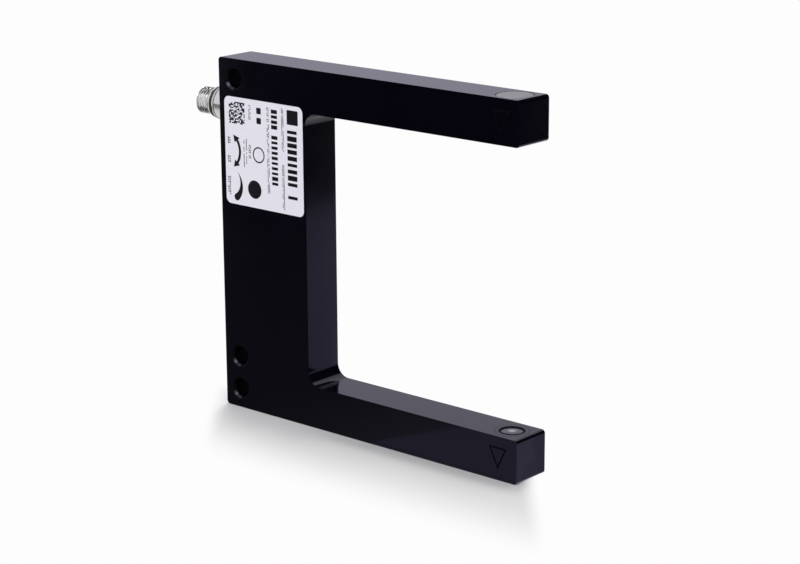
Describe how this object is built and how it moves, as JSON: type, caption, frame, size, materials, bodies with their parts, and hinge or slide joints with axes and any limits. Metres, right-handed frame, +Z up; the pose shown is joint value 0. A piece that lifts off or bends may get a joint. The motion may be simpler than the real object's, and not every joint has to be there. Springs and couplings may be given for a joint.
{
  "type": "fork sensor",
  "caption": "C-shaped optical fork sensor with a cast housing, a beam across its gap, a round plug connector and rotary adjusters.",
  "frame": {"origin": "middle of the base of the whole part, plug connector included", "axes": "+X from the spine to the arm tips, -Y the labelled face, +Z up; the part stands on its lower arm"},
  "size_m": [0.1224, 0.0126, 0.105],
  "materials": {
    "black_coat": "smooth black coat on cast aluminium, satin to gloss",
    "label_film": "printed white film",
    "nickel": "bright nickel plate on turned brass",
    "steel": "bright steel",
    "gold_plate": "gold plate",
    "black_rubber": "smooth black rubber",
    "black_plastic": "black moulded plastic",
    "grey_plastic": "light grey moulded plastic",
    "white_plastic": "white moulded plastic",
    "lens_plastic": "polished dark infrared-pass plastic",
    "amber_plastic": "clear amber window",
    "board_green": "circuit board laminate with green resist",
    "chip_black": "moulded chip package",
    "wire_red": "insulated wire",
    "wire_blue": "insulated wire"
  },
  "bodies": {
    "sensor_body": {"housing": "black_coat", "rear_cover": "black_coat", "cover_seal": "black_rubber", "cover_screw_1": "steel", "cover_screw_2": "steel", "cover_screw_3": "steel", "cover_screw_4": "steel", "cover_screw_5": "steel", "cover_screw_6": "steel", "label": "label_film", "connector_shell": "nickel", "connector_insert": "black_plastic", "connector_pin_1": "gold_plate", "connector_pin_2": "gold_plate", "connector_pin_3": "gold_plate", "connector_oring": "black_rubber", "connector_clip": "steel", "connector_lead_1": "wire_blue", "connector_lead_2": "wire_blue", "connector_lead_3": "wire_blue", "mode_switch": "black_plastic", "sensitivity_pot": "black_plastic", "indicator_lens": "amber_plastic", "indicator_led": "white_plastic", "main_board": "board_green", "board_screw_1": "steel", "board_screw_2": "steel", "controller_chip": "chip_black", "output_driver": "chip_black", "regulator": "chip_black", "filter_inductor": "chip_black", "storage_capacitor": "steel", "emitter_lens": "lens_plastic", "emitter_barrel": "black_plastic", "emitter_diode": "white_plastic", "emitter_board": "board_green", "emitter_cap": "grey_plastic", "emitter_wire_1": "wire_red", "emitter_wire_2": "wire_red", "receiver_lens": "lens_plastic", "receiver_barrel": "black_plastic", "receiver_diode": "white_plastic", "receiver_board": "board_green", "receiver_cap": "grey_plastic", "receiver_wire_1": "wire_red", "receiver_wire_2": "wire_red"},
    "mode_adjuster": {"mode_rotor": "white_plastic"},
    "sensitivity_adjuster": {"sensitivity_rotor": "white_plastic"}
  },
  "joints": [
    {"name": "mode_turn", "type": "hinge", "parent": "sensor_body", "child": "mode_adjuster", "pos_m": [-0.0488, 0, 0.0775], "axis": [-1, 0, 0], "range_deg": [0, 90]},
    {"name": "sensitivity_turn", "type": "hinge", "parent": "sensor_body", "child": "sensitivity_adjuster", "pos_m": [-0.0488, 0, 0.0673], "axis": [-1, 0, 0], "range_deg": [-135, 135]}
  ]
}
